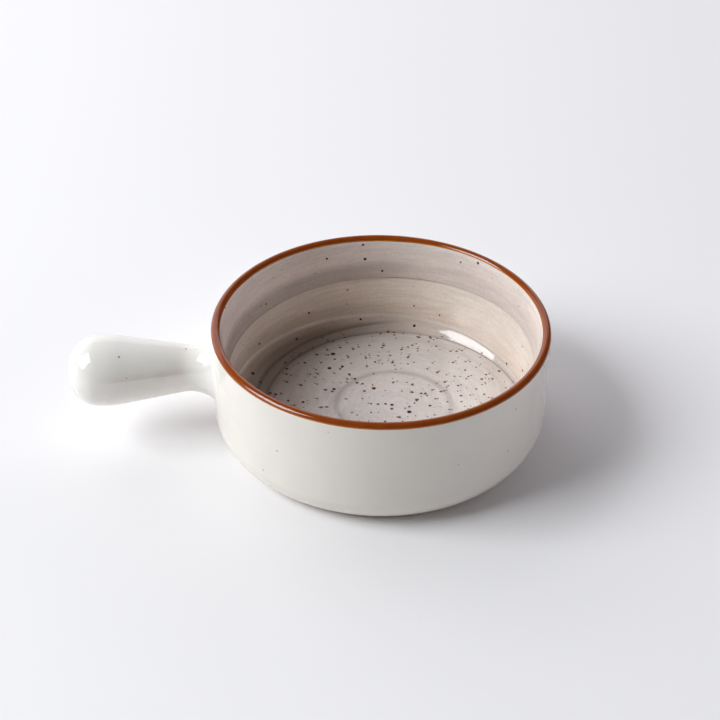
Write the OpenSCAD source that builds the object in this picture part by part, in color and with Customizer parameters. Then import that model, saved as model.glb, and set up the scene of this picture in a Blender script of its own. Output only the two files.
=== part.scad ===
// Stoneware soup bowl with one stick handle, glazed inside and out, with a brown band on the lip.
// The bowl's axis is Z and its foot stands on Z = 0. The handle points along -X.
// Every piece is a fired layer: two clay pieces, the slip that joins them, and the glazes on them.

/* [Bowl] */
// Width across the rim, over the glaze
rim_d = 142; // [120:1:160]
// Height from the table to the top of the lip
bowl_h = 53.2; // [48:0.2:60]
// Thickness of the lip, over the glaze
lip_t = 3.8; // [3:0.1:4.2]
// How much further out the widest ring of the wall is than the lip
wall_swell = 0; // [0:0.25:2]
// Radius of the outside corner, where the wall turns under
heel_r = 13.5; // [12:0.5:15]
// Air between the table and the lowest point that this corner's curve would reach
heel_lift = 0.4; // [0.2:0.1:0.8]

/* [Inside] */
// Height of the floor of the well above the table
floor_z = 8.2; // [7.6:0.1:9.6]
// How far in from the rim's edge the inside wall starts, at the top of the inside corner
wall_in = 6.7; // [6.2:0.1:7.4]
// Radius of the inside corner, between floor and wall
well_r = 7.5; // [6.6:0.1:9]
// How far in from the rim's edge the ledge is that parts the wall's upper and lower zones
ledge_in = 6; // [5.4:0.1:6.4]
// Height of that ledge above the table
ledge_z = 32.9; // [28:0.1:38]
// How far the upper zone stands in front of the lower one at the ledge
ledge_step = 0.35; // [0.2:0.05:0.6]

/* [Throwing rings] */
// Width of the ring pressed into the middle of the floor
centre_ring_d = 50; // [40:0.2:60]
// How far in from the edge of the flat floor the fainter ring lies
outer_ring_in = 6.6; // [6.6:0.1:12]
// How far in from the inside wall the step that rings the floor lies
edge_ring_in = 6.5; // [6.5:0.1:8]
// Width of the groove at that step
edge_groove_w = 1.2; // [0.8:0.1:1.6]
// How far the rings lie off the bowl's axis, away from the handle
ring_shift = 5; // [0:0.5:5]
// Radius of the rounded tool that pressed the rings
ring_tool_r = 2.5; // [2:0.1:3.6]
// Depth of the rings
ring_depth = 0.25; // [0.15:0.05:0.35]

/* [Foot] */
// How far in from the rim's edge the foot ring stands
foot_in = 8.5; // [7.5:0.5:9.5]
// Width of the flat that the foot ring stands on
foot_w = 6.5; // [5:0.5:8]
// Height of the recess inside the foot ring
recess_h = 2.6; // [2:0.1:3]
// How far the recess draws in between the foot ring and its ceiling
recess_draft = 2.5; // [1.5:0.5:3]

/* [Glaze] */
// Thickness of every glaze layer
glaze_t = 0.5; // [0.4:0.05:0.6]
// How far the brown band comes down the outside of the lip
band_outside = 2.2; // [2.2:0.1:3]
// How far the brown band comes down the inside of the lip
band_inside = 1.2; // [0.8:0.1:3]

/* [Handle] */
// How far the handle stands out from the rim's edge
handle_l = 60.1; // [55:0.1:63]
// Height of the handle's axis above the table
handle_z = 32.6; // [31:0.2:34]
// Width of the knob at its thickest
knob_d = 30.3; // [28:0.1:32]
// Distance from the free end to the thickest point of the knob
knob_at = 15; // [14:0.5:16]
// Radius of the shoulder that rounds the free end
knob_end_r = 13; // [11:0.5:13.5]
// Long radius of the knob's crown
knob_crown_r = 40; // [34:1:46]
// Width of the waist
waist_d = 20.1; // [18:0.1:22]
// Distance from the free end to the waist
waist_at = 50; // [47:0.5:52]
// Radius of the hollow curve that opens the waist out into the root
root_flare_r = 16.5; // [16:0.5:22]
// Thickness of the slip between the root and the wall
slip_t = 0.8; // [0.7:0.1:1.2]

/* [Hidden] */
$fn = 96;
rim_r = rim_d / 2;
lip_r = lip_t / 2;
lip_c = [rim_r - lip_r, bowl_h - lip_r];
heel_c = [rim_r + wall_swell - heel_r, heel_lift + heel_r];
inside_r = rim_r - wall_in;
well_c = [inside_r - well_r, floor_z + well_r];
ledge_upper = [rim_r - ledge_in, ledge_z];
ledge_lower = ledge_upper + [ledge_step, 0];
outer_ring_r = well_c.x - outer_ring_in;
edge_ring_r = inside_r - edge_ring_in;
foot_r = rim_r - foot_in;
foot_inner_r = foot_r - foot_w;
recess_r = foot_inner_r - recess_draft;
crown_c = [knob_d / 2 - knob_crown_r, knob_at];
// Distance between the knob's thickest point and the centre of its end shoulder
end_offset = knob_at - knob_end_r;
// Where two outlines run into each other, one runs this far inside the other, so they cross cleanly
tuck = 0.001;
end_c = [
    crown_c.x + sqrt(pow(knob_crown_r - knob_end_r + tuck, 2) - pow(end_offset, 2)),
    knob_end_r
];
waist_c = [waist_d / 2 + root_flare_r, waist_at];
// The handle's shape runs on this far past the rim's radius, to be cut back by the wall
root_overrun = 4;
root_at = handle_l + root_overrun;
// Cuts run on this far below the table
cut_past = 1;
// The knob's crown is a long arc, so it is drawn with more sides
crown_fn = 4 * $fn;

// Angle of the normal of the line that touches circles a and b on the same side
function same_side(a, ra, b, rb) =
    let(d = a - b)
    atan2(d.y, d.x) - acos((rb - ra) / norm(d));

// Angle of the normal of the line that crosses between circles a and b and touches both
function crossing(a, ra, b, rb) =
    let(d = b - a)
    atan2(d.y, d.x) - acos((ra + rb) / norm(d));

function on_circle(c, r, angle) = c + r * [cos(angle), sin(angle)];

// Point at height y on the line from a through b
function at_height(a, b, y) = a + (b - a) * (y - a.y) / (b.y - a.y);

// Point where the inside wall touches the rounding of the lip, with both drawn in by t
function lip_inside(t) =
    let(r = lip_r - t - tuck)
    on_circle(lip_c, r, same_side(ledge_upper + [t, t], 0, lip_c, r));

// Half section of the bowl's outer form with no hollow, drawn in by t from the finished glaze
module outer_section(t) {
    wall = same_side(lip_c, lip_r - t - tuck, heel_c, heel_r - t - tuck);
    polygon([
        [0, 0],
        [foot_r, 0],
        [foot_r, heel_c.y],
        on_circle(heel_c, heel_r - t - tuck, wall),
        on_circle(lip_c, lip_r - t - tuck, wall),
        lip_c,
        lip_inside(t),
        [0, lip_inside(t).y]
    ]);
    intersection() {
        translate(heel_c) circle(r = heel_r - t);
        translate([foot_r, 0]) square([rim_d, 2 * heel_c.y]);
    }
    translate(lip_c) circle(r = lip_r - t);
}

// Half section of the hollow, grown by t from the finished glaze
module well_section(t) {
    lower_top = ledge_lower + [t, t];
    upper_bottom = ledge_upper + [t, t];
    lower = same_side(lower_top, 0, well_c, well_r + t - tuck);
    polygon([
        [0, floor_z - t],
        [well_c.x, floor_z - t],
        well_c,
        on_circle(well_c, well_r + t - tuck, lower),
        lower_top,
        upper_bottom,
        at_height(upper_bottom, lip_inside(t), bowl_h),
        [0, bowl_h]
    ]);
    translate(well_c) circle(r = well_r + t);
}

// Hollow under the floor, inside the foot ring
module recess_section() {
    polygon([
        [0, -cut_past],
        [foot_inner_r, -cut_past],
        [foot_inner_r, 0],
        [recess_r, recess_h],
        [0, recess_h]
    ]);
}

module outer_form(t) {
    rotate_extrude() outer_section(t);
}

// Grooves that the rounded tool leaves in the floor, grown by t
module ring_grooves(t) {
    for (r = [centre_ring_d / 2, outer_ring_r])
        translate([ring_shift, 0, floor_z - ring_depth + ring_tool_r])
            rotate_extrude() translate([r, 0]) circle(r = ring_tool_r + t);
    intersection() {
        rotate_extrude() well_section(ring_depth + t);
        translate([ring_shift, 0, 0]) rotate_extrude()
            translate([edge_ring_r - edge_groove_w / 2 - t, 0])
                square([edge_groove_w + 2 * t, well_c.y]);
    }
}

// Half section of the handle, drawn in by t, with its free end at the bottom
module handle_section(t) {
    shoulder = atan2(end_c.y - crown_c.y, end_c.x - crown_c.x);
    taper = crossing(crown_c, knob_crown_r - t - tuck, waist_c, root_flare_r + t - tuck);
    crown_start = on_circle(crown_c, knob_crown_r - t - tuck, shoulder);
    difference() {
        union() {
            polygon([
                [0, t],
                [end_c.x, t],
                crown_start,
                on_circle(crown_c, knob_crown_r - t - tuck, taper),
                on_circle(waist_c, tuck - root_flare_r - t, taper),
                waist_c,
                [waist_c.x, root_at],
                [0, root_at]
            ]);
            intersection() {
                translate(end_c) circle(r = knob_end_r - t);
                translate([end_c.x, 0]) square([knob_d, knob_d]);
            }
            intersection() {
                translate(crown_c) circle(r = knob_crown_r - t, $fn = crown_fn);
                translate([0, crown_start.y]) square([knob_d, waist_at]);
            }
        }
        translate(waist_c) circle(r = root_flare_r + t);
    }
}

// Turns a half section about the handle's axis, with the section's bottom at the free end
module turned_on_handle() {
    translate([-rim_r - handle_l, 0, handle_z])
        rotate([0, 90, 0])
            rotate_extrude() children();
}

module handle_form(t) {
    turned_on_handle() handle_section(t);
}

// Fired clay of the wall, floor and foot ring
module bowl_body() {
    color("#b59a7c") difference() {
        rotate_extrude() difference() {
            outer_section(glaze_t);
            well_section(glaze_t);
            recess_section();
        }
        ring_grooves(glaze_t);
    }
}

// Fired clay of the handle, its root cut to the curve of the wall
module handle() {
    color("#b59a7c") difference() {
        handle_form(glaze_t);
        outer_form(glaze_t - slip_t);
    }
}

// Saddle of slip that the root was pressed into
module handle_slip() {
    color("#9c8468") difference() {
        intersection() {
            handle_form(glaze_t);
            outer_form(glaze_t - slip_t);
        }
        outer_form(glaze_t);
    }
}

// Speckled lining of the well, up to the brown band
module inner_glaze() {
    color("#cfc4ba") difference() {
        rotate_extrude() difference() {
            intersection() {
                well_section(2 * glaze_t);
                outer_section(0);
                square([rim_d, bowl_h - band_inside]);
            }
            well_section(0);
        }
        ring_grooves(0);
        bowl_body();
    }
}

// White glaze on the outside wall, from the foot ring up to the brown band
module outer_glaze() {
    color("#f0ede6") difference() {
        rotate_extrude() intersection() {
            difference() {
                outer_section(0);
                outer_section(glaze_t);
            }
            square([rim_d, bowl_h - band_outside]);
        }
        handle_form(glaze_t);
    }
}

// White glaze on the handle, run down onto the glaze of the wall
module handle_glaze() {
    color("#f0ede6") difference() {
        turned_on_handle() difference() {
            handle_section(0);
            handle_section(glaze_t);
        }
        outer_form(0);
    }
}

// Brown glaze folded over the lip
module rim_glaze() {
    color("#8f4a20") rotate_extrude() difference() {
        intersection() {
            difference() {
                outer_section(0);
                well_section(0);
            }
            union() {
                translate([0, bowl_h - band_inside]) square([lip_c.x, bowl_h]);
                translate([lip_c.x, bowl_h - band_outside]) square([lip_t, bowl_h]);
            }
        }
        difference() {
            outer_section(glaze_t);
            well_section(glaze_t);
        }
    }
}

// White glaze on the ceiling of the recess, inside the bare foot ring
module base_glaze() {
    edge_r = recess_r + recess_draft * glaze_t / recess_h;
    low_z = recess_h - glaze_t;
    color("#f0ede6") rotate_extrude()
        polygon([[0, low_z], [edge_r, low_z], [recess_r, recess_h], [0, recess_h]]);
}

bowl_body();
handle();
handle_slip();
inner_glaze();
outer_glaze();
handle_glaze();
rim_glaze();
base_glaze();
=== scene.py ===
import math

import bpy
import numpy as np
from mathutils import Matrix, Vector


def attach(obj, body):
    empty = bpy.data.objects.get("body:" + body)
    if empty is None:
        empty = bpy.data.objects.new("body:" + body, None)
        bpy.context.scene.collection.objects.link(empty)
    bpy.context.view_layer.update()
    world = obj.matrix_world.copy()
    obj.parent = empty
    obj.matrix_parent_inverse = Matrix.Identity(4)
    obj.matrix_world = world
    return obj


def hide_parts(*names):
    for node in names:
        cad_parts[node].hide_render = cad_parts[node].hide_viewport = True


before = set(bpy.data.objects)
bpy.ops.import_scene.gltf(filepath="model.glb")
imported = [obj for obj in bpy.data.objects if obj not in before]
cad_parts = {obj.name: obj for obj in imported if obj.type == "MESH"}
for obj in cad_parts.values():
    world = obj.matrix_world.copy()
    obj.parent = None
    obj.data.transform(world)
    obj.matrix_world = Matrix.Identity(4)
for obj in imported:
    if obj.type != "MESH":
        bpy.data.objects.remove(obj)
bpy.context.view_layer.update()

mm = 0.001

# The bowl's own measures in mm, as in the solids. Only the rim is 0.01 mm smaller, so that the facets stay
# inside the solids' box, and the brown band reaches 0.9 mm further down inside
bowl = {
    "rimRadius": 70.99,
    "height": 53.2,
    "lipRadius": 1.9,
    "heelRadius": 13.5,
    "heelLift": 0.4,
    "footRadius": 62.5,
    "floorZ": 8.2,
    "ledgeRadius": 65.0,
    "ledgeStep": 0.35,
    "ledgeZ": 32.9,
    "bandInsideZ": 51.1,
    "bandOutsideZ": 51.0,
    "glaze": 0.5,
}
lipCentre = np.array([bowl["rimRadius"] - bowl["lipRadius"], bowl["height"] - bowl["lipRadius"]])
heelCentre = np.array([bowl["rimRadius"] - bowl["heelRadius"], bowl["heelLift"] + bowl["heelRadius"]])


# Shared helpers


def linearFromHex(text):
    channels = [int(text[i : i + 2], 16) / 255 for i in (1, 3, 5)]
    linear = [c / 12.92 if c <= 0.04045 else ((c + 0.055) / 1.055) ** 2.4 for c in channels]
    return (*linear, 1.0)


# Settings go to the node's own fields or its inputs. Links join an output to an input, and a node that is
# given there stands for its first output
def addNode(tree, kind, settings=None, links=None):
    node = tree.nodes.new(kind)
    for key, value in (settings or {}).items():
        if isinstance(key, str) and hasattr(node, key):
            setattr(node, key, value)
        else:
            node.inputs[key].default_value = value
    for key, source in (links or {}).items():
        output = source.outputs[0] if hasattr(source, "outputs") else source
        tree.links.new(output, node.inputs[key])
    return node


# Scale of a pattern whose grain is this many mm across, for points in metres
def scaleFor(grain):
    return 1000.0 / grain


# Each material starts with its shader and its place on the object, in metres
def startMaterial(name):
    material = bpy.data.materials.new(name)
    material.use_nodes = True
    tree = material.node_tree
    place = addNode(tree, "ShaderNodeTexCoord").outputs["Object"]
    return material, tree, tree.nodes["Principled BSDF"], place


def smoothStep(value, low, high):
    t = np.clip((value - low) / (high - low), 0.0, 1.0)
    return t * t * (3.0 - 2.0 * t)


# Depth from 0 to 1 of a soft groove of this full width
def groove(distance, width):
    return np.exp(-((2.2 * distance / width) ** 2))


# Smooth random line along values, about 1 high, with waves of about this size
def wobble(values, seed, size, waves=24):
    random = np.random.default_rng(seed)
    total = np.zeros_like(values)
    for _ in range(waves):
        total += np.sin(values * 2 * math.pi / (size * random.uniform(0.6, 2.4)) + random.uniform(0, 6.28))
    return total / math.sqrt(waves)


# Cosines and sines of the steps round a ring
def roundRing(steps):
    theta = np.linspace(0, 2 * math.pi, steps, endpoint=False)
    return np.cos(theta), np.sin(theta)


# Radius and height of a point on an arc of the section
def onArc(centre, radius, degrees):
    angle = math.radians(degrees)
    return centre + radius * np.array([math.cos(angle), math.sin(angle)])


# Mesh from rows of points. Each row is a ring; poles close the ends; closed joins the last row to the first
def meshFromGrid(name, grid, firstPole=None, lastPole=None, closed=True):
    rows, steps = grid.shape[:2]
    points = grid.reshape(-1, 3)
    faces = []
    last = rows if (closed and firstPole is None) else rows - 1
    for i in range(last):
        a, b = i * steps, ((i + 1) % rows) * steps
        for j in range(steps):
            k = (j + 1) % steps
            faces.append((a + j, a + k, b + k, b + j))
    extra = []
    for pole, row in ((firstPole, 0), (lastPole, rows - 1)):
        if pole is None:
            continue
        index = len(points) + len(extra)
        extra.append(pole)
        for j in range(steps):
            k = (j + 1) % steps
            a, b = row * steps + j, row * steps + k
            faces.append((a, index, b) if row == 0 else (a, b, index))
    if extra:
        points = np.vstack([points, extra])
    mesh = bpy.data.meshes.new(name)
    mesh.from_pydata((points * mm).tolist(), [], faces)
    mesh.validate()
    mesh.polygons.foreach_set("use_smooth", [True] * len(mesh.polygons))
    mesh.update()
    piece = bpy.data.objects.new(name, mesh)
    bpy.context.scene.collection.objects.link(piece)
    return piece


# One closed skin from a front and a back surface of the same rings
def closedSkin(name, front, back, poles=None):
    grid = np.concatenate([front, back[::-1]])
    if poles is None:
        return meshFromGrid(name, grid)
    return meshFromGrid(name, grid, poles[0], poles[1], closed=False)


# Writes one number for each point of a closed skin, the same on front and back, which its material reads
def markPoints(piece, name, values):
    flat = np.concatenate([np.asarray(values).ravel(), np.asarray(values[::-1]).ravel()])
    full = np.zeros(len(piece.data.vertices))
    full[: len(flat)] = flat
    piece.data.attributes.new(name, "FLOAT", "POINT").data.foreach_set("value", full.astype(np.float32))


def dress(piece, material, slotName, *nodes):
    piece.data.materials.clear()
    piece.data.materials.append(material)
    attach(piece, "root")
    if nodes:
        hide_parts(*nodes)


# Camera, set where the photograph was taken from: places in metres, lens in mm

camera = {
    "look": "Standard",
    "spot": (-0.045154, -0.516118, 0.405349),
    "aim": (-0.008345, 0.004831, 0.03),
    "rollDegrees": 0.48,
    "lens": 75.0,
    "filmWidth": 36.0,
    "clip": (0.05, 20.0),
}


def placeCamera(settings):
    data = bpy.data.cameras.new("camera")
    data.lens = settings["lens"]
    data.sensor_width = settings["filmWidth"]
    data.clip_start, data.clip_end = settings["clip"]
    piece = bpy.data.objects.new("camera", data)
    bpy.context.scene.collection.objects.link(piece)
    spot, aim = Vector(settings["spot"]), Vector(settings["aim"])
    turn = (aim - spot).to_track_quat("-Z", "Y").to_matrix().to_4x4()
    roll = Matrix.Rotation(math.radians(settings["rollDegrees"]), 4, "Z")
    piece.matrix_world = Matrix.Translation(spot) @ turn @ roll
    bpy.context.scene.camera = piece
    bpy.context.scene.view_settings.view_transform = settings["look"]


placeCamera(camera)
print("camera placed")


# Lining: the speckled glaze of the well

lining = {
    "steps": 360,
    "skin": 0.45,
    "middle": (6.4, 0.44),  # The floor's rings run round this place, off the bowl's axis
    "ringSpacing": 1.5,
    "fineRings": {"centre": (2.2, 17), "inner": (2.4, 11)},  # Reach and count of closer rings over a groove
    "edgeRings": (-1.6, -0.12, 9),  # Start, stop and count of the closer rings at the floor's edge
    "floorEdge": 56.6,
    "floorRipple": 0.018,
    "floorWave": 3.4,
    "floorSeed": 5,
    "calmMiddle": 0.3,  # Share of the ripple that is left in the middle
    "fullPool": 0.4,  # Depth of groove that shows the pooled tone in full
    "shadeReach": 6.0,  # How far in from the floor's edge the painted shade starts
    "shadeWidths": (7.5, 12.0),  # Painted shade grows as the corner widens from the first width to the second, towards the handle
    "shadeDepth": 0.46,
    "shadeFade": (0.6, 0.9),  # Share of the corner's width over which it ends
    "cornerHollow": (1.1, 0.8),  # Power of the corner's curve where it is tight, and what is added where wide
    "hollowWidths": (4.0, 12.0),
    "cornerRingFade": (0.8, 3.5),  # Room beyond the corner's groove that it needs to show
    "steepest": 1.12,  # Slope of the corner where it is tight
    "creaseZ": 12.3,
    "creaseRound": 1.1,
    "creaseShare": 0.35,  # At most this share of the corner is rounded away
    "backLean": 0.45,  # How far the skin's back turns from under the floor to behind the wall
    "wallFoot": 64.3,
    "wallRipple": 0.03,
    "wallWave": 5.0,
    "wallSeed": 11,
    "wallShade": 0.13,  # Painted shade low on the wall, on the side where the corner is wide
    "wallShadeFade": 4.5,
    "softBandZ": 17.5,  # Up to here the wall moves out by the next value
    "softBandOut": 0.35,
    "softBandStart": 1.5,
    "ledgeMean": 32.0,
    "ledgeTilt": 3.6,  # Higher by this opposite the handle, lower by it at the handle
    "ledgeTiltAcross": 0.9,
    "ledgeRound": 0.45,
    "ledgeLean": 0.3,
    "leanReach": 6.0,
    "ledgeShade": 0.41,  # Painted shade over the ledge, less of it opposite the handle
    "ledgeShadeOpposite": 0.23,
    "opposite": (-0.1, 0.55),
    "ledgeShadeFade": (4.5, 11.0),
    "ledgeShadeLine": 0.10,  # Thin line of painted shade on top of the ledge
    "ledgeShadeReach": 0.8,
    "underBand": 0.11,  # How deep the lining is tucked under the brown band
    "underBandReach": (-0.9, 0.2),
    "underLip": 0.05,
    "lipRings": 5,  # Left out of the clay, which has a lip of its own
    "lipEndDegrees": 150,
    # Grooves that the throwing tool left: radius round the floor's middle, width, depth
    "rings": {
        "centre": (25.0, 3.2, 0.20),
        "inner": (50.8, 3.0, 0.07),
        "floorEdge": (56.6, 1.8, 0.34),
        "corner": (61.4, 1.8, 0.42),
    },
}


# Radii of the floor's rings, closer where a groove runs
def floorRadii(settings):
    edge, step = settings["floorEdge"], settings["ringSpacing"]
    start, stop, count = settings["edgeRings"]
    spans = [np.arange(step, edge + start, step)]
    for name, (reach, rows) in settings["fineRings"].items():
        spans.append(settings["rings"][name][0] + np.linspace(-reach, reach, rows))
    spans.append(edge + np.linspace(start, stop, count))
    radii = np.unique(np.concatenate(spans))
    return radii[np.concatenate([np.diff(radii) > 0.1, [True]])]


# Rings of points from the floor's middle to the lip, this much deeper into the clay, and for each point
# its course up the section, how far it lies in a groove and how much painted shade it takes
def liningSurface(settings, deeper):
    c, s = roundRing(settings["steps"])
    ones = np.ones_like(c)
    midX, midY = settings["middle"]
    edge, foot, rings = settings["floorEdge"], settings["wallFoot"], settings["rings"]
    rows, course, pooled, paintedShade = [], [], [], []

    def lay(x, y, z, up, pool=0.0, shade=0.0):
        rows.append(np.stack([x * ones, y * ones, z * ones], -1))
        course.append(up * ones)
        pooled.append(pool * ones)
        paintedShade.append(shade * ones)

    def wallRipple(z):
        return settings["wallRipple"] * wobble(z, settings["wallSeed"], settings["wallWave"])

    edgeX, edgeY = midX + edge * c, midY + edge * s
    footX, footY = foot * c, foot * s
    width = np.hypot(footX - edgeX, footY - edgeY)
    reach = np.hypot(footX - midX, footY - midY)
    # Share of painted shade by the corner's width: most at the handle's side
    shadeSide = smoothStep(width, *settings["shadeWidths"])
    # Floor, ring by ring round its middle
    calm = settings["calmMiddle"]
    for r in floorRadii(settings):
        dip = sum(depth * groove(r - at, across) for at, across, depth in rings.values())
        wave = wobble(np.array([r]), settings["floorSeed"], settings["floorWave"])[0]
        ripple = settings["floorRipple"] * wave * (calm + (1 - calm) * r / edge)
        z = bowl["floorZ"] - deeper - dip + ripple
        # Painted shade near the floor's edge
        shade = settings["shadeDepth"] * shadeSide * smoothStep(r, edge - settings["shadeReach"], edge)
        lay(midX + r * c, midY + r * s, z, r / edge, min(1.0, dip / settings["fullPool"]), shade)
    # Corner, from the floor's edge up to the crease at the wall's foot: wide at the handle, tight opposite
    flattest, hollow = settings["cornerHollow"]
    power = flattest + hollow * smoothStep(width, *settings["hollowWidths"])
    full = settings["creaseZ"] - bowl["floorZ"]
    rise = full * (1 - np.exp(-(((reach - edge) * settings["steepest"] / full) ** 3))) ** (1 / 3)
    ringRadius, ringWidth, ringDepth = rings["corner"]
    ringAt = (ringRadius - edge) / (reach - edge)
    fadeStart, fadeStop = settings["cornerRingFade"]
    ringThere = smoothStep(reach, ringRadius + fadeStart, ringRadius + fadeStop)
    lean = settings["backLean"]

    def cornerPoint(t):
        dip = rings["floorEdge"][2] * groove(width * t, rings["floorEdge"][1]) * (0.5 + 0.5 * ringThere)
        dip = dip + ringDepth * groove((t - ringAt) * width, ringWidth) * ringThere
        z = bowl["floorZ"] + rise * t**power - dip - deeper * (1 - lean * t)
        push = 1 + lean * deeper * t / foot
        return (edgeX + (footX - edgeX) * t) * push, (edgeY + (footY - edgeY) * t) * push, z, dip

    cut = np.minimum(settings["creaseRound"] / np.hypot(width, rise), settings["creaseShare"])
    for part in np.concatenate([np.linspace(0, 0.12, 7, endpoint=False), np.linspace(0.12, 1, 34)]):
        t = part * (1 - cut)
        x, y, z, dip = cornerPoint(t)
        # Painted shade in the corner, ending towards the crease
        shade = settings["shadeDepth"] * shadeSide * (1 - smoothStep(t, *settings["shadeFade"]))
        lay(x, y, z, 1 + t, np.minimum(1.0, dip / settings["fullPool"]), shade)
    # The crease, rounded
    startX, startY, startZ, _ = cornerPoint(1 - cut)
    push = (foot + deeper) / foot
    creaseZ = bowl["floorZ"] + rise - deeper * 0.5
    topZ = bowl["floorZ"] + rise + settings["creaseRound"]
    for t in np.linspace(0, 1, 8)[1:]:
        a, b, d = (1 - t) ** 2, 2 * t * (1 - t), t * t
        x = a * startX + (b + d) * footX * push
        y = a * startY + (b + d) * footY * push
        lay(x, y, a * startZ + b * creaseZ + d * topZ, 1 + (1 - cut) + cut * t)
    # Wall below the ledge
    ledge = settings["ledgeMean"] + settings["ledgeTilt"] * c + settings["ledgeTiltAcross"] * s
    under = bowl["ledgeRadius"] + bowl["ledgeStep"]
    softZ, softOut = settings["softBandZ"], settings["softBandOut"]
    for part in np.linspace(0.03, 0.985, 30):
        z = topZ + (ledge - topZ) * part
        r = foot + softOut * smoothStep(z, topZ - settings["softBandStart"], softZ)
        r = r + (under - softOut - foot) * part
        r = r + wallRipple(z) * smoothStep(part * ones, 0.0, 0.1) + deeper
        # Painted shade low on the wall at the handle's side
        shade = settings["wallShade"] * shadeSide * (1 - smoothStep(z, softZ, softZ + settings["wallShadeFade"]))
        lay(r * c, r * s, z, 2 + part, shade=shade)
    # The ledge: the wall above it leans in a little, then stops at a crisp edge
    # Painted shade over the ledge, and a thin line of it on top
    overLedge = settings["ledgeShade"] - settings["ledgeShadeOpposite"] * smoothStep(c, *settings["opposite"])
    for t in np.linspace(0, 1, 6):
        z = ledge + settings["ledgeRound"] * (t - 0.5)
        r = under - (bowl["ledgeStep"] + settings["ledgeLean"]) * smoothStep(t * ones, 0, 1) + deeper
        r = r + wallRipple(z)
        lay(r * c, r * s, z, 3 + 0.2 * t, shade=overLedge * smoothStep(t * ones, 0.3, 1.0))
    # Wall above the ledge
    lipJoint, tangentAngle = lipTangent()
    start = ledge + settings["ledgeRound"] * 0.5
    tuckLow, tuckHigh = (bowl["bandInsideZ"] + reach for reach in settings["underBandReach"])
    for part in np.concatenate([np.linspace(0.03, 0.3, 12, endpoint=False), np.linspace(0.3, 1.0, 24)]):
        z = start + (lipJoint[1] - start) * part
        r = bowl["ledgeRadius"] + (lipJoint[0] - bowl["ledgeRadius"]) * part
        r = r - settings["ledgeLean"] * (1 - smoothStep(z - ledge, 0.0, settings["leanReach"]))
        r = r + wallRipple(z) * (1 - smoothStep(part * ones, 0.85, 1.0)) + deeper
        r = r + settings["underBand"] * smoothStep(z, tuckLow, tuckHigh)
        above = z - start
        shade = overLedge * (1 - smoothStep(above, *settings["ledgeShadeFade"]))
        shade = shade + settings["ledgeShadeLine"] * np.exp(-above / settings["ledgeShadeReach"])
        lay(r * c, r * s, z, 3.2 + part, shade=shade)
    # A short way round the lip, to end under the brown band
    lipEnd = settings["lipEndDegrees"]
    for angle in np.linspace(tangentAngle - 3, lipEnd, settings["lipRings"]):
        along = (tangentAngle - angle) / (tangentAngle - lipEnd)
        tuckUnder = settings["underBand"] + settings["underLip"] * along
        r, z = onArc(lipCentre, bowl["lipRadius"] - deeper - tuckUnder, angle)
        lay(r * c, r * s, z, 4.25)
    return np.array(rows), np.array(course), np.array(pooled), np.array(paintedShade)


# Point and angle on the lip's rounding where the upper wall's line touches it
def lipTangent():
    start = np.array([bowl["ledgeRadius"], bowl["ledgeZ"]])
    d = start - lipCentre
    angle = math.degrees(math.atan2(d[1], d[0]) - math.acos(bowl["lipRadius"] / np.linalg.norm(d))) % 360
    return onArc(lipCentre, bowl["lipRadius"], angle), angle


liningFront, liningCourse, liningPooled, liningShade = liningSurface(lining, 0.0)
liningBack = liningSurface(lining, lining["skin"])[0]
liningMiddle = [*lining["middle"], bowl["floorZ"]]
liningPiece = closedSkin(
    "lining",
    liningFront,
    liningBack,
    (liningMiddle, [*lining["middle"], bowl["floorZ"] - lining["skin"]]),
)
firstRing = lining["ringSpacing"] * np.ones((1, lining["steps"]))
liningAlong = np.cumsum(
    np.concatenate([firstRing, np.linalg.norm(np.diff(liningFront, axis=0), axis=2)]), axis=0
)
markPoints(liningPiece, "course", liningCourse)
markPoints(liningPiece, "pooled", liningPooled)
markPoints(liningPiece, "paintedShade", liningShade)
markPoints(liningPiece, "thrown", liningAlong)
print("lining made")


# Clay of the bowl, bare on its foot

clayBody = {
    "behindLining": 0.5,
    "footInside": 56.0,
    "recessRadius": 53.5,
    "recessHeight": 2.6,
    "recessEdge": (0.3, -0.25),
    "recessMiddle": 3.0,
    "edgeRound": 0.45,
}


# Section from the lip over the outside and the foot to the recess, as far in as the glaze is thick
def claySection(settings):
    skin, soft = bowl["glaze"], settings["edgeRound"]
    section = []
    for angle in np.linspace(lipTangent()[1] - 4, 0, 24):
        section.append(onArc(lipCentre, bowl["lipRadius"] - skin, angle))
    for z in np.linspace(lipCentre[1] - 1, heelCentre[1] + 1, 20):
        section.append((bowl["rimRadius"] - skin, z))
    radius = bowl["heelRadius"] - skin
    stop = -math.degrees(math.acos((bowl["footRadius"] - heelCentre[0]) / radius))
    for angle in np.linspace(0, stop, 30):
        section.append(onArc(heelCentre, radius, angle))
    for angle in np.linspace(0, -90, 6):
        section.append(onArc(np.array([bowl["footRadius"] - soft, soft]), soft, angle))
    for angle in np.linspace(-90, -160, 6):
        section.append(onArc(np.array([settings["footInside"] + soft, soft]), soft, angle))
    out, down = settings["recessEdge"]
    section.append((settings["recessRadius"] + out, settings["recessHeight"] + down))
    for r in np.linspace(settings["recessRadius"], settings["recessMiddle"], 12):
        section.append((r, settings["recessHeight"]))
    return section


# Rings from the middle of the floor over the lip and down to the middle of the recess
def claySurface(settings):
    inside = liningSurface(lining, settings["behindLining"])[0][: -lining["lipRings"]]
    c, s = roundRing(lining["steps"])
    outside = [np.stack([r * c, r * s, np.full_like(c, z)], -1) for r, z in claySection(settings)]
    return np.concatenate([inside, np.array(outside)])


clayPiece = meshFromGrid(
    "clayBody",
    claySurface(clayBody),
    [*lining["middle"], bowl["floorZ"] - clayBody["behindLining"]],
    [0, 0, clayBody["recessHeight"]],
    closed=False,
)
print("clay made")


# White coat of the outside wall

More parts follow.
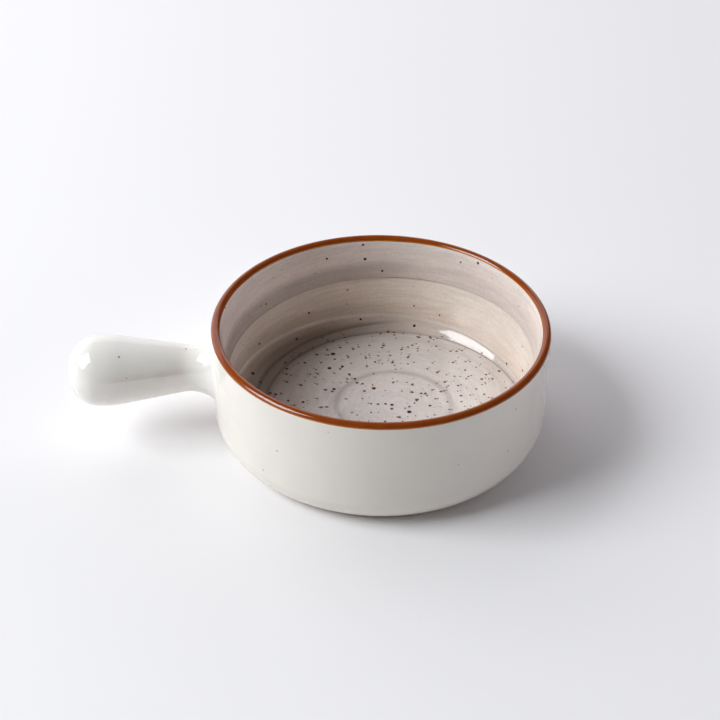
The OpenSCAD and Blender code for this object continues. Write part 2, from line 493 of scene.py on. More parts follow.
wallCoat = {
    "steps": 288,
    "skin": 0.5,
    "overFoot": 0.02,
    "belowBand": 0.7,  # Where the coat starts to dip under the brown band
    "tuckDepth": 0.06,
    "tuckHeight": 1.0,
    "ripple": 0.012,
    "rippleSink": 1.6,  # Keeps the ripple from standing out beyond the wall
    "rippleSeed": 21,
    "rippleWave": 6.0,
    "rippleStart": (6.0, 14.0),
    "rippleStop": (49.0, 50.5),
}


# Radius and height from the foot to under the brown band
def wallSection(settings, inset):
    radius, side = bowl["heelRadius"] - inset, bowl["rimRadius"] - inset
    startX = bowl["footRadius"] + settings["overFoot"] - heelCentre[0]
    startDegrees = -math.degrees(math.acos(startX / radius))
    points = [onArc(heelCentre, radius, angle) for angle in np.linspace(startDegrees, 0, 44)]
    top = bowl["bandOutsideZ"] - settings["belowBand"]
    for z in np.linspace(heelCentre[1] + 1, top, 36):
        points.append((side, z))
    for t in np.linspace(0.15, 1, 6):
        points.append((side - settings["tuckDepth"] * t * t, top + settings["tuckHeight"] * t))
    return np.array(points)


def wallSurface(settings, inset):
    c, s = roundRing(settings["steps"])
    r, z = wallSection(settings, inset).T
    waves = wobble(z, settings["rippleSeed"], settings["rippleWave"])
    relief = settings["ripple"] * (waves - settings["rippleSink"])
    relief *= smoothStep(z, *settings["rippleStart"]) * (1 - smoothStep(z, *settings["rippleStop"]))
    r = r + np.minimum(relief, 0.0)
    return np.stack([np.outer(r, c), np.outer(r, s), np.outer(z, np.ones_like(c))], -1)


wallPiece = closedSkin("wallCoat", wallSurface(wallCoat, 0.0), wallSurface(wallCoat, wallCoat["skin"]))
print("wall coat made")


# Brown band folded over the lip

band = {
    "steps": 288,
    "skin": 0.38,
    "edge": 0.9,  # Width over which the glaze thins towards each edge
    "edgeThin": 0.07,
    "wave": 0.10,
    "waveInside": 0.6,
    "waveSeed": 31,
    "waveSize": 1.5,  # In radians round the rim
    "waveJoin": 0.6,
    "waveReach": (2.5, 2.0),
    "innerLift": 0.75,  # Opposite the handle the inner edge lies higher
    "liftSide": (0.0, 0.65),
}


# Rings from the band's outer edge over the lip to its inner edge, and how far each is from the nearer edge
def bandSurface(settings, inset):
    theta = np.linspace(0, 2 * math.pi, settings["steps"], endpoint=False)
    c, s = np.cos(theta), np.sin(theta)
    join = settings["waveJoin"]
    wave = settings["wave"] * wobble(theta, settings["waveSeed"], settings["waveSize"])
    wave = wave * smoothStep(theta, 0, join) * (1 - smoothStep(theta, 2 * math.pi - join, 2 * math.pi))
    lift = settings["innerLift"] * smoothStep(c, *settings["liftSide"])
    radius, edge = bowl["lipRadius"], settings["edge"]
    outerReach, innerReach = settings["waveReach"]
    straight = lipCentre[1] - bowl["bandOutsideZ"]
    innerEnd = math.pi - math.asin((bowl["bandInsideZ"] - lipCentre[1]) / radius)
    total = straight + innerEnd * radius
    spans = [
        np.linspace(0, edge, 8, endpoint=False),
        np.linspace(edge, total - edge, 34, endpoint=False),
        np.linspace(total - edge, total, 9),
    ]
    along = np.concatenate(spans)
    fromEdge = np.minimum(along, total - along)
    rows = []
    for distance, margin in zip(along, fromEdge):
        out = radius - inset - settings["edgeThin"] * (1 - smoothStep(margin, 0, edge))
        lower = wave * (1 - smoothStep(distance, 0, outerReach))
        if distance < straight:
            r = np.full_like(c, lipCentre[0] + out)
            z = bowl["bandOutsideZ"] + distance + lower
        else:
            nearInside = 1 - smoothStep(total - distance, 0, innerReach)
            shift = (wave * settings["waveInside"] - lift) * nearInside
            angle = (distance - straight + shift) / radius
            r = lipCentre[0] + out * np.cos(angle)
            z = lipCentre[1] + out * np.sin(angle) + lower
        rows.append(np.stack([r * c, r * s, z], -1))
    return np.array(rows), fromEdge


bandFront, bandFromEdge = bandSurface(band, 0.0)
bandPiece = closedSkin("brownBand", bandFront, bandSurface(band, band["skin"])[0])
markPoints(bandPiece, "fromEdge", bandFromEdge[:, None] * np.ones(band["steps"]))
print("brown band made")


# White coat of the handle, run on to the wall

handle = {
    "steps": 144,
    "skin": 0.45,
    "axisZ": 32.6,
    "reach": 131.1,
    "knobRadius": 15.15,
    "knobAt": 15.0,
    "endRadius": 13.0,
    "crownRadius": 40.0,
    "waistRadius": 10.05,
    "waistAt": 50.0,
    "flareRadius": 16.5,
    "flareRows": 22,
    "flareBeyond": 3.0,  # How far past the wall the search for it goes
    "slimmest": 0.3,
    "fillet": 0.9,
    "filletFrom": 0.93,  # Share of the flare where the fillet starts
    "filletSink": 0.03,
}


# Radius and distance from the free end, from the tip to where the flare starts, and the flare's centre
def handleProfile(settings):
    crown = np.array([settings["knobRadius"] - settings["crownRadius"], settings["knobAt"]])
    lift = settings["knobAt"] - settings["endRadius"]
    reach = settings["crownRadius"] - settings["endRadius"]
    end = np.array([crown[0] + math.sqrt(reach**2 - lift**2), settings["endRadius"]])
    waist = np.array([settings["waistRadius"] + settings["flareRadius"], settings["waistAt"]])
    shoulder = math.degrees(math.atan2(end[1] - crown[1], end[0] - crown[0]))
    d = waist - crown
    bend = math.acos((settings["crownRadius"] + settings["flareRadius"]) / np.linalg.norm(d))
    taper = math.degrees(math.atan2(d[1], d[0]) - bend)
    points = [np.array([end[0] * t, 0.0]) for t in (0.25, 0.6, 1.0)]
    for angle in np.linspace(-90, shoulder, 34)[1:]:
        points.append(onArc(end, settings["endRadius"], angle))
    for angle in np.linspace(shoulder, taper, 16)[1:]:
        points.append(onArc(crown, settings["crownRadius"], angle))
    start, stop = points[-1], onArc(waist, -settings["flareRadius"], taper)
    for t in np.linspace(0, 1, 22)[1:]:
        points.append(start + (stop - start) * t)
    return np.array(points), waist


def flareRadiusAt(settings, waist, along):
    return waist[0] - np.sqrt(settings["flareRadius"] ** 2 - (along - waist[1]) ** 2)


# One ring of the flare: at t = 0 where it starts, at t = 1 on the wall, which halving steps find
def flareRow(settings, waist, inset, start, t):
    c, s = roundRing(settings["steps"])
    low = np.full_like(c, waist[1])
    high = np.full_like(c, settings["reach"] - bowl["rimRadius"] + settings["flareBeyond"])
    for _ in range(40):
        middle = (low + high) / 2
        r = flareRadiusAt(settings, waist, middle) - inset
        short = middle < settings["reach"] - np.sqrt(bowl["rimRadius"] ** 2 - (r * c) ** 2)
        low, high = np.where(short, middle, low), np.where(short, high, middle)
    along = start + (low - start) * t
    r = flareRadiusAt(settings, waist, along) - inset
    return np.stack([along - settings["reach"], r * c, settings["axisZ"] + r * s], -1)


def handleSurface(settings, inset):
    c, s = roundRing(settings["steps"])
    profile, waist = handleProfile(settings)
    flareStart = profile[-1, 1]
    tangents = np.gradient(profile, axis=0)
    normals = np.stack([tangents[:, 1], -tangents[:, 0]], -1)
    normals /= np.linalg.norm(normals, axis=1)[:, None]
    normals[:3] = [0, -1]
    profile = profile - inset * normals
    profile[:, 0] = np.maximum(profile[:, 0], settings["slimmest"])
    rows = []
    for r, along in profile:
        x = np.full_like(c, along - settings["reach"])
        rows.append(np.stack([x, r * c, settings["axisZ"] + r * s], -1))
    for t in np.linspace(0, 1, settings["flareRows"])[1:]:
        rows.append(flareRow(settings, waist, inset, flareStart, t))
    if inset > 0:
        return np.array(rows)
    # A small fillet where the coat runs on to the wall
    before = flareRow(settings, waist, 0, flareStart, settings["filletFrom"])
    corner = rows[-1]
    out = np.hypot(corner[:, 1], corner[:, 2] - settings["axisZ"]) + settings["fillet"]
    y, z = out * c, settings["axisZ"] + out * s
    onWall = np.stack([-np.sqrt((bowl["rimRadius"] - settings["filletSink"]) ** 2 - y**2), y, z], -1)
    rows = rows[:-2]
    for t in np.linspace(0, 1, 9):
        rows.append((1 - t) ** 2 * before + 2 * t * (1 - t) * corner + t * t * onWall)
    return np.array(rows)


handlePiece = closedSkin(
    "handleCoat",
    handleSurface(handle, 0.0),
    handleSurface(handle, handle["skin"]),
    ([-handle["reach"], 0, handle["axisZ"]], [handle["skin"] - handle["reach"], 0, handle["axisZ"]]),
)
print("handle coat made")


# Materials: sizes and places in mm, tones in sRGB

# A scattered speck's radius is drawn between these shares of its size; a bold one has a core and a soft rim
speckShape = {"smallest": 0.42, "largest": 0.9, "softEdge": 0.22, "boldCore": 0.36, "boldRim": 0.55}


# Scattered specks, one in a cell of this spacing, in this share of the cells
def addSpecks(tree, place, colour, across, spacing, tone, strength, share):
    part = across / spacing
    cells = addNode(tree, "ShaderNodeTexVoronoi", {"Scale": scaleFor(spacing)}, {"Vector": place})
    draw = addNode(tree, "ShaderNodeSeparateColor", {}, {0: cells.outputs["Color"]})
    sizes = {"To Min": speckShape["smallest"] * part, "To Max": speckShape["largest"] * part}
    radius = addNode(tree, "ShaderNodeMapRange", sizes, {"Value": draw})
    away = cells.outputs["Distance"]
    inside = addNode(tree, "ShaderNodeMath", {"operation": "SUBTRACT"}, {0: radius, 1: away})
    rim = {"From Min": 0.0, "From Max": speckShape["softEdge"] * part, "To Max": strength}
    soft = addNode(tree, "ShaderNodeMapRange", rim, {"Value": inside})
    chosen = addNode(tree, "ShaderNodeMath", {"operation": "LESS_THAN"}, {0: draw.outputs[1]})
    if isinstance(share, float):
        chosen.inputs[1].default_value = share
    else:
        tree.links.new(share, chosen.inputs[1])
    mask = addNode(tree, "ShaderNodeMath", {"operation": "MULTIPLY"}, {0: soft, 1: chosen})
    mix = {"data_type": "RGBA", 7: linearFromHex(tone)}
    return addNode(tree, "ShaderNodeMix", mix, {0: mask, 6: colour}).outputs[2]


# Single specks, each at x, y, z and this wide
def addBoldSpecks(tree, place, colour, settings):
    for *at, across in settings["bold"]:
        spot = Vector(at) * mm
        away = addNode(tree, "ShaderNodeVectorMath", {"operation": "DISTANCE", 1: spot}, {0: place})
        core, rim = speckShape["boldCore"] * across * mm, speckShape["boldRim"] * across * mm
        span = {"From Min": core, "From Max": rim, "To Min": settings["boldStrength"], "To Max": 0.0}
        mask = addNode(tree, "ShaderNodeMapRange", span, {"Value": away.outputs["Value"]})
        mix = {"data_type": "RGBA", 7: linearFromHex(settings["boldTone"])}
        colour = addNode(tree, "ShaderNodeMix", mix, {0: mask, 6: colour}).outputs[2]
    return colour


# Mask of a round place: full at its middle, nothing at its edge
def addRoundMask(tree, place, at, across, full):
    spot = Vector(at) * mm
    away = addNode(tree, "ShaderNodeVectorMath", {"operation": "DISTANCE", 1: spot}, {0: place})
    span = {"From Min": 0.0, "From Max": 0.5 * across * mm, "To Min": full, "To Max": 0.0}
    span["interpolation_type"] = "SMOOTHSTEP"
    return addNode(tree, "ShaderNodeMapRange", span, {"Value": away.outputs["Value"]})


# Ends a finish: its colour, a roughness that follows the cloud, and a bump as deep as this
def joinFinish(tree, shader, settings, colour, cloud, height):
    smooth, dull = settings["roughness"]
    rough = addNode(tree, "ShaderNodeMapRange", {"To Min": smooth, "To Max": dull}, {"Value": cloud})
    strength, depth = settings["bump"]
    lift = {"Strength": strength, "Distance": depth * mm}
    bump = addNode(tree, "ShaderNodeBump", lift, {"Height": height})
    tree.links.new(colour, shader.inputs["Base Color"])
    tree.links.new(rough.outputs[0], shader.inputs["Roughness"])
    tree.links.new(bump.outputs[0], shader.inputs["Normal"])
    shader.inputs["IOR"].default_value = settings["ior"]


white = {
    "wallTones": ("#e4ddd4", "#ece7de"),
    # Painted light: the handle's tones are a lighter copy of the wall's, standing in for the light on the
    # handle
    "handleLitTones": ("#f0ebe4", "#f5f2ec"),
    "ior": 1.58,
    "roughness": (0.06, 0.14),
    "bump": (0.10, 0.4),  # Strength and height, here and below
    "cloud": 25.0,  # Width of the cloudy changes in thickness
    "peel": 1.5385,  # Orange peel, on a broad swell
    "swell": 11.111,
    "swellShare": 4.0,
    # Scattered specks: across, spacing, tone, strength, share of the cells
    "specks": ((0.42, 7.0, "#9c8368", 0.75, 0.8), (0.7, 16.0, "#a9967f", 0.5, 0.9)),
    "boldTone": "#a5774a",
    "boldStrength": 0.85,
    "thinEdgeAndReflectionTone": "#c9b39a",
    "reflectionStrength": 0.2,
    "pimples": ((17.1, -68.9, 35.6, 2.6), (3.3, -70.9, 34.9, 1.6)),
    "pimpleHeight": 3.0,  # Against the peel's height of 1
    # Painted reflection: tan patches on the handle near the bowl, where its brown shows in the gloss
    "reflectionPatches": ((-86.0, -9.0, 38.5, 12.0), (-92.0, -11.5, 36.5, 10.0)),
    # Specks of the white coat that stand out: x, y, z, across
    "bold": (
        (-108.9, -7.9, 44.7, 1.0),
        (-81.7, -0.7, 42.6, 0.9),
        (-45.1, -54.8, 30.0, 0.9),
        (-51.0, -49.4, 16.0, 0.8),
        (47.6, -52.7, 24.0, 0.8),
        (49.8, -50.6, 43.6, 0.8),
    ),
    # A darker tan level band on the handle at a line 3.7 mm over its axis: darkest at the line, fading
    # upwards
    "levelBand": {
        "z": 36.3,
        "fade": 3.0,
        "edge": 0.3,
        "knobEnd": -119.0,
        "rootEnd": -76.0,
        "ease": 8.0,
        "strength": 0.18,
        "tone": "#b79a7c",
    },
}


def addLevelBand(tree, place, colour, settings):
    apart = addNode(tree, "ShaderNodeSeparateXYZ", {}, {0: place})
    level, root, knob, ease = (settings[key] * mm for key in ("z", "rootEnd", "knobEnd", "ease"))
    top, foot = level + settings["fade"] * mm, level - settings["edge"] * mm
    # Coordinate, start, stop, value at the start, value at the stop, kind of slope
    spans = (
        (2, level, top, settings["strength"], 0.0, "SMOOTHSTEP"),
        (2, foot, level, 0.0, 1.0, "LINEAR"),
        (0, knob, knob + ease, 0.0, 1.0, "LINEAR"),
        (0, root - ease, root, 1.0, 0.0, "LINEAR"),
    )
    share = None
    for axis, start, stop, first, last, slope in spans:
        span = {"From Min": start, "From Max": stop, "To Min": first, "To Max": last}
        span["interpolation_type"] = slope
        part = addNode(tree, "ShaderNodeMapRange", span, {"Value": apart.outputs[axis]})
        if share is None:
            share = part
        else:
            share = addNode(tree, "ShaderNodeMath", {"operation": "MULTIPLY"}, {0: share, 1: part})
    mix = {"data_type": "RGBA", 7: linearFromHex(settings["tone"])}
    return addNode(tree, "ShaderNodeMix", mix, {0: share, 6: colour}).outputs[2]


# Gloss white stoneware glaze, dipped and fired: a thick, warm white coat, cloudy where its thickness
# changes, faintly dimpled by its orange peel, with a few tan iron specks and two pimples on the front wall.
# Tan patches of painted reflection lie on the handle near the bowl, and the handle's copy adds a darker tan
# level band
def whiteGlaze(name, settings, tones, withLevelBand=False):
    material, tree, shader, place = startMaterial(name)
    grain = {"Scale": scaleFor(settings["cloud"]), "Detail": 3.0, "Roughness": 0.55}
    cloud = addNode(tree, "ShaderNodeTexNoise", grain, {"Vector": place})
    mix = {"data_type": "RGBA", 6: linearFromHex(tones[0]), 7: linearFromHex(tones[1])}
    colour = addNode(tree, "ShaderNodeMix", mix, {0: cloud}).outputs[2]
    for specks in settings["specks"]:
        colour = addSpecks(tree, place, colour, *specks)
    # Painted reflection: tan patches on the handle near the bowl
    for *at, across in settings["reflectionPatches"]:
        near = addRoundMask(tree, place, at, across, settings["reflectionStrength"])
        mix = {"data_type": "RGBA", 7: linearFromHex(settings["thinEdgeAndReflectionTone"])}
        colour = addNode(tree, "ShaderNodeMix", mix, {0: near, 6: colour}).outputs[2]
    colour = addBoldSpecks(tree, place, colour, settings)
    # A darker tan level band, on the handle only
    if withLevelBand:
        colour = addLevelBand(tree, place, colour, settings["levelBand"])
    fine = {"Scale": scaleFor(settings["peel"]), "Detail": 2.0}
    peel = addNode(tree, "ShaderNodeTexNoise", fine, {"Vector": place})
    broad = {"Scale": scaleFor(settings["swell"]), "Detail": 1.0}
    swell = addNode(tree, "ShaderNodeTexNoise", broad, {"Vector": place})
    blend = {"operation": "MULTIPLY_ADD", 1: settings["swellShare"]}
    height = addNode(tree, "ShaderNodeMath", blend, {0: swell, 2: peel})
    for *at, across in settings["pimples"]:
        dome = addRoundMask(tree, place, at, across, settings["pimpleHeight"])
        height = addNode(tree, "ShaderNodeMath", {"operation": "ADD"}, {0: height, 1: dome})
    joinFinish(tree, shader, settings, colour, cloud, height)
    return material


speckled = {
    "lastCourse": 4.3,
    "ior": 1.58,
    "roughness": (0.05, 0.11),
    "bump": (0.07, 0.3),
    "peel": 2.0,
    "streakLong": 15.0,  # Streaks run round the bowl, this long where the radius is as below
    "streakRadius": 60.0,
    "streakAcross": 1.5625,
    "cloud": 18.182,
    "grain": 0.90909,  # The real grain is half that, and would not show
    "shades": {"streak": (0.9, 1.08), "cloud": (0.96, 1.04), "grain": (0.93, 1.07)},
    "midNoise": (0.3, 0.7),
    "pooledTone": "#93867e",
    "pooledShare": 0.75,
    # Tone of the painted shade
    "shadeTone": "#47382c",
    # Scattered specks: across, spacing, tone, strength
    "specks": ((0.7, 2.9, "#8a5433", 0.85), (1.0, 2.8, "#70391b", 0.95), (1.5, 9.0, "#56290f", 1.0)),
    "specksThin": (0.95, 1.4),  # Many on the floor, few on the wall: the change in courses and in share
    "specksShare": (0.85, 0.055),
    "boldTone": "#4a210c",
    "boldStrength": 1.0,
    # Bold specks of the lining, on the floor first, then in the corner and on the wall: x, y, z, across
    "bold": (
        (12.6, -4.5, 8.2, 2.2),
        (-19.1, 13.8, 8.2, 1.8),
        (-11.8, 24.6, 8.2, 1.4),
        (-9.4, 21.0, 8.1, 1.4),
        (-15.6, 28.7, 8.2, 1.3),
        (0.5, 33.2, 8.2, 1.3),
        (40.5, 24.7, 8.2, 1.2),
        (20.9, 8.3, 8.2, 1.4),
        (-33.1, 5.1, 8.2, 1.6),
        (-44.9, 11.4, 8.2, 1.6),
        (-47.4, 12.5, 8.2, 1.7),
        (-51.4, 20.6, 8.3, 1.5),
        (-54.7, 24.8, 10.2, 1.9),
        (29.5, 44.0, 8.2, 1.2),
        (20.7, 58.5, 10.0, 1.5),
        (-4.1, 63.2, 11.4, 1.2),
        (59.2, 25.0, 10.8, 1.3),
        (5.8, 65.0, 36.6, 1.2),
        (-2.1, 66.1, 42.6, 1.5),
        (-19.7, 63.5, 45.0, 1.2),
        (-28.3, 58.4, 19.1, 1.2),
    ),
    # The course that each tone stands at, up the section: 0 to 1 floor, 1 to 2 corner, 2 to 3 wall under
    # the ledge, from 3.2 wall over it
    "tones": {
        "floorMiddle": (0.00, "#e1d8d3"),
        "floorEdge": (0.95, "#d1c8c2"),
        # The corner's tones are darker than the floor's: partly pooled glaze, partly painted shade
        "cornerLow": (1.10, "#c9bcb2"),
        "cornerHigh": (1.60, "#cebfb3"),
        "belowCrease": (1.90, "#cdbdb1"),
        # A painted highlight along the crease
        "creaseHighlight": (1.98, "#e3d8cf"),
        "overCrease": (2.04, "#d9c8ba"),
        "wallLow": (2.20, "#e0cfc1"),
        "wallCream": (2.30, "#e5d6ca"),
        "belowLedge": (2.75, "#e8dbcf"),
        "ledge": (3.00, "#e5d8cc"),
        "overLedge": (3.06, "#e6d7ce"),
        "wallHigh": (3.95, "#e7d9d1"),
        "belowBand": (4.10, "#e9ded7"),
        "underBand": (4.18, "#ece3de"),
    },
}


# Gloss warm grey glaze over iron-bearing clay, poured in and fired: brown specks melt up through it, it pools
# grey in the grooves and the corner, and lies cream on the wall under the ledge, with level streaks from the
# throwing. Painted shade also darkens the corner, most at the handle's side, the wall low on that side and
# the wall over the ledge, and a painted highlight lies along the crease
def liningGlaze(name, settings):
    material, tree, shader, place = startMaterial(name)
    marks = {}
    for mark in ("course", "pooled", "thrown", "paintedShade"):
        marks[mark] = addNode(tree, "ShaderNodeAttribute", {"attribute_name": mark}).outputs["Fac"]
    # The tone up the section
    divide = {"operation": "DIVIDE", 1: settings["lastCourse"]}
    part = addNode(tree, "ShaderNodeMath", divide, {0: marks["course"]})
    ramp = addNode(tree, "ShaderNodeValToRGB", {}, {0: part})
    stops = ramp.color_ramp.elements
    tones = [(at / settings["lastCourse"], linearFromHex(tone)) for at, tone in settings["tones"].values()]
    stops[0].position, stops[0].color = tones[0]
    stops[1].position, stops[1].color = 1.0, tones[-1][1]
    for at, tone in tones[1:]:
        stops.new(at).color = tone
    # Streaks: noise over the direction from the axis and the length of the thrown wall
    streakScale = settings["streakRadius"] / settings["streakLong"]
    flat = addNode(tree, "ShaderNodeVectorMath", {"operation": "MULTIPLY", 1: (1.0, 1.0, 0.0)}, {0: place})
    around = addNode(tree, "ShaderNodeVectorMath", {"operation": "NORMALIZE"}, {0: flat})
    apart = addNode(tree, "ShaderNodeSeparateXYZ", {}, {0: around})
    spread = {"operation": "MULTIPLY", 1: 1 / (streakScale * settings["streakAcross"])}
    far = addNode(tree, "ShaderNodeMath", spread, {0: marks["thrown"]})
    wheel = addNode(tree, "ShaderNodeCombineXYZ", {}, {0: apart.outputs[0], 1: apart.outputs[1], 2: far})
    # Streaks, clouds and grain darken and lighten the tone
    patterns = (
        ("streak", streakScale, 4.0, 0.65, wheel),
        ("cloud", scaleFor(settings["cloud"]), 4.0, 0.6, place),
        ("grain", scaleFor(settings["grain"]), 2.0, 0.7, place),
    )
    noises, shades = {}, {}
    for pattern, scale, detail, roughness, where in patterns:
        noise = {"Scale": scale, "Detail": detail, "Roughness": roughness}
        noises[pattern] = addNode(tree, "ShaderNodeTexNoise", noise, {"Vector": where})
        dark, light = settings["shades"][pattern]
        low, high = settings["midNoise"]
        span = {"From Min": low, "From Max": high, "To Min": dark, "To Max": light}
        shades[pattern] = addNode(tree, "ShaderNodeMapRange", span, {"Value": noises[pattern]})
    twoShades = {0: shades["streak"], 1: shades["cloud"]}
    both = addNode(tree, "ShaderNodeMath", {"operation": "MULTIPLY"}, twoShades)
    body = addNode(tree, "ShaderNodeVectorMath", {"operation": "SCALE"}, {0: ramp, "Scale": both})
    # Greyer where it pooled in a groove, darker where shade is painted in
    weight = {"operation": "MULTIPLY", 1: settings["pooledShare"]}
    pool = addNode(tree, "ShaderNodeMath", weight, {0: marks["pooled"]})
    mix = {"data_type": "RGBA", 7: linearFromHex(settings["pooledTone"])}
    lined = addNode(tree, "ShaderNodeMix", mix, {0: pool, 6: body})
    under = {0: marks["paintedShade"], 6: lined.outputs[2]}
    mix = {"data_type": "RGBA", 7: linearFromHex(settings["shadeTone"])}
    lined = addNode(tree, "ShaderNodeMix", mix, under)
    grainy = {0: lined.outputs[2], "Scale": shades["grain"]}
    colour = addNode(tree, "ShaderNodeVectorMath", {"operation": "SCALE"}, grainy).outputs[0]
    # Specks
    first, last = settings["specksThin"]
    many, few = settings["specksShare"]
    span = {"From Min": first, "From Max": last, "To Min": many, "To Max": few}
    share = addNode(tree, "ShaderNodeMapRange", span, {"Value": marks["course"]}).outputs[0]
    for specks in settings["specks"]:
        colour = addSpecks(tree, place, colour, *specks, share)
    colour = addBoldSpecks(tree, place, colour, settings)
    fine = {"Scale": scaleFor(settings["peel"]), "Detail": 2.0}
    peel = addNode(tree, "ShaderNodeTexNoise", fine, {"Vector": place})
    joinFinish(tree, shader, settings, colour, noises["cloud"], peel)
    return material


brown = {
    "thickTones": ("#7a330c", "#994912"),
    "thinEdgeAndReflectionTone": "#d98416",
    "thinEdge": (0.2, 0.95),
    "unsteady": 0.5,  # How far the thin edge wanders
    "ior": 1.58,
    "roughness": (0.07, 0.15),
    "bump": (0.08, 0.2),
    "cloud": 7.6923,
    "fine": 1.1111,
}


# Iron-brown gloss glaze, painted on the lip and fired: dark red-brown where thick, orange where it thins at
# both edges
def brownGlaze(name, settings):
    material, tree, shader, place = startMaterial(name)
    fromEdge = addNode(tree, "ShaderNodeAttribute", {"attribute_name": "fromEdge"}).outputs["Fac"]
    grain = {"Scale": scaleFor(settings["cloud"]), "Detail": 4.0, "Roughness": 0.6}
    cloud = addNode(tree, "ShaderNodeTexNoise", grain, {"Vector": place})
    darkTone, lightTone = settings["thickTones"]
    mix = {"data_type": "RGBA", 6: linearFromHex(darkTone), 7: linearFromHex(lightTone)}
    body = addNode(tree, "ShaderNodeMix", mix, {0: cloud})
    shift = {"operation": "MULTIPLY_ADD", 1: settings["unsteady"], 2: -0.5 * settings["unsteady"]}
    unsteady = addNode(tree, "ShaderNodeMath", shift, {0: cloud})
    shifted = addNode(tree, "ShaderNodeMath", {"operation": "ADD"}, {0: fromEdge, 1: unsteady})
    low, high = settings["thinEdge"]
    span = {"From Min": low, "From Max": high, "To Min": 1.0, "To Max": 0.0}
    thin = addNode(tree, "ShaderNodeMapRange", span, {"Value": shifted})
    mix = {"data_type": "RGBA", 7: linearFromHex(settings["thinEdgeAndReflectionTone"])}
    tone = addNode(tree, "ShaderNodeMix", mix, {0: thin, 6: body.outputs[2]})
    small = {"Scale": scaleFor(settings["fine"]), "Detail": 2.0}
    fine = addNode(tree, "ShaderNodeTexNoise", small, {"Vector": place})
    joinFinish(tree, shader, settings, tone.outputs[2], cloud, fine)
    return material


bare = {
    "footTones": ("#8c6a4a", "#b39068"),
    "slipTones": ("#7c5f45", "#9a7a5a"),
    "grogTone": "#5e4633",
    "grog": 1.1111,  # Spacing of the grains
    "grogShare": 0.5,
    "grogEdge": (0.1, 0.3),
    "ior": 1.5,
    "roughness": (0.78, 0.95),
    "bump": (0.4, 0.2),
    "cloud": 11.111,
    "fine": 0.4,
}


# Stoneware fired without glaze: dry, toasted buff, sandy to the eye, with dark grog under a millimetre wide
def bareStoneware(name, settings, tones):
    material, tree, shader, place = startMaterial(name)
    grain = {"Scale": scaleFor(settings["cloud"]), "Detail": 5.0, "Roughness": 0.65}
    cloud = addNode(tree, "ShaderNodeTexNoise", grain, {"Vector": place})
    mix = {"data_type": "RGBA", 6: linearFromHex(tones[0]), 7: linearFromHex(tones[1])}
    tone = addNode(tree, "ShaderNodeMix", mix, {0: cloud})
    grog = addNode(tree, "ShaderNodeTexVoronoi", {"Scale": scaleFor(settings["grog"])}, {"Vector": place})
    low, high = settings["grogEdge"]
    span = {"From Min": low, "From Max": high, "To Min": settings["grogShare"], "To Max": 0.0}
    dots = addNode(tree, "ShaderNodeMapRange", span, {"Value": grog.outputs["Distance"]})
    mix = {"data_type": "RGBA", 7: linearFromHex(settings["grogTone"])}
    speck = addNode(tree, "ShaderNodeMix", mix, {0: dots, 6: tone.outputs[2]})
    small = {"Scale": scaleFor(settings["fine"]), "Detail": 3.0}
    fine = addNode(tree, "ShaderNodeTexNoise", small, {"Vector": place})
    joinFinish(tree, shader, settings, speck.outputs[2], cloud, fine)
    return material


whiteCoat = whiteGlaze("whiteGlaze", white, white["wallTones"])
# Painted light: a lighter copy of the white glaze for the handle, with its level band
handleLitWhite = whiteGlaze("whiteGlazeHandleLit", white, white["handleLitTones"], withLevelBand=True)
clay = bareStoneware("bareStoneware", bare, bare["footTones"])
slip = bareStoneware("driedSlip", bare, bare["slipTones"])
dress(liningPiece, liningGlaze("liningGlaze", speckled), "lining_glaze", "inner_glaze")
dress(wallPiece, whiteCoat, "white_glaze", "outer_glaze")
dress(bandPiece, brownGlaze("ironBrownGlaze", brown), "brown_glaze", "rim_glaze")
dress(handlePiece, handleLitWhite, "handle_white_glaze", "handle_glaze")
dress(clayPiece, clay, "clay", "bowl_body")
for nodeName, material in (("handle", clay), ("handle_slip", slip), ("base_glaze", whiteCoat)):
    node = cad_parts[nodeName]
    node.data.materials.clear()
    node.data.materials.append(material)
print("materials made")


# Floor and light: sizes and distances in metres

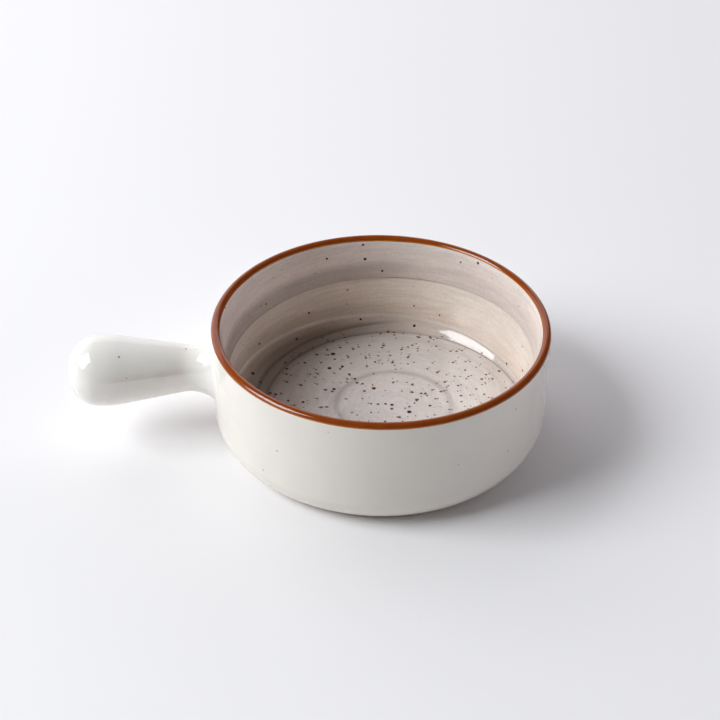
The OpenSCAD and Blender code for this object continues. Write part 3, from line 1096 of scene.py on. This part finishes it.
studio = {
    "floorTone": "#f5f3f3",
    "floorSize": 8.0,
    "floorCloud": 333.33,  # In mm, the only one here
    "floorLift": 1.01,
    "floorRoughness": 0.7,
    "floorSpecular": 0.2,
    "worldTone": "#f3eadf",
    "worldStrength": 0.035,
    "aim": (0.0, 0.0, 0.03),
    # Bearing from +Y, height above the horizon, distance, width, height, brightness, tint, seen in gloss
    "softboxes": {
        "softboxLeft": (-98, 38, 2.3, 1.3, 1.4, 9.6, "#f3f8fc", True),
        "backdrop": (-13, 19, 2.6, 4.4, 1.8, 1.06, "#f4f5fe", True),
        "bounceBackLeft": (-48, 40, 2.6, 3.0, 2.0, 1.2, "#fdfbfc", False),
        "bounceBackHigh": (5, 56, 2.6, 3.0, 1.4, 0.42, "#f8f7ff", False),
        "bounceRight": (104, 16, 2.6, 2.2, 0.9, 1.8, "#f7f5ff", False),
        "bounceBackRight": (54, 20, 2.6, 2.0, 1.1, 1.8, "#f5f4ff", False),
    },
}


# Painted board, rolled and matt: pale, near even, with hardly a cloud in it
def paleTable(name, settings):
    material, tree, shader, place = startMaterial(name)
    broad = {"Scale": scaleFor(settings["floorCloud"]), "Detail": 2.0}
    cloud = addNode(tree, "ShaderNodeTexNoise", broad, {"Vector": place})
    low = linearFromHex(settings["floorTone"])
    high = (*(min(1.0, v * settings["floorLift"]) for v in low[:3]), 1.0)
    tone = addNode(tree, "ShaderNodeMix", {"data_type": "RGBA", 6: low, 7: high}, {0: cloud})
    tree.links.new(tone.outputs[2], shader.inputs["Base Color"])
    shader.inputs["Roughness"].default_value = settings["floorRoughness"]
    shader.inputs["Specular IOR Level"].default_value = settings["floorSpecular"]
    return material


def makeStudio(settings):
    bpy.ops.mesh.primitive_plane_add(size=settings["floorSize"], location=(0, 0, 0))
    floor = bpy.context.object
    floor.name = "floor"
    floor.data.materials.append(paleTable("paleTable", settings))
    world = bpy.data.worlds.new("studio")
    bpy.context.scene.world = world
    world.use_nodes = True
    back = world.node_tree.nodes["Background"]
    back.inputs["Color"].default_value = linearFromHex(settings["worldTone"])
    back.inputs["Strength"].default_value = settings["worldStrength"]
    for name, values in settings["softboxes"].items():
        hangSoftbox(name, Vector(settings["aim"]), *values)


def hangSoftbox(name, aim, bearing, height, distance, wide, high, brightness, tint, inGloss):
    data = bpy.data.lights.new(name, "AREA")
    data.shape = "RECTANGLE"
    data.size, data.size_y = wide, high
    data.energy = brightness * math.pi * wide * high
    data.color = linearFromHex(tint)[:3]
    lamp = bpy.data.objects.new(name, data)
    bpy.context.scene.collection.objects.link(lamp)
    a, e = math.radians(bearing), math.radians(height)
    away = Vector((math.sin(a) * math.cos(e), math.cos(a) * math.cos(e), math.sin(e)))
    lamp.location = aim + away * distance
    lamp.visible_glossy = inGloss
    lamp.rotation_mode = "QUATERNION"
    lamp.rotation_quaternion = (-away).to_track_quat("-Z", "Y")


makeStudio(studio)
print("studio made")
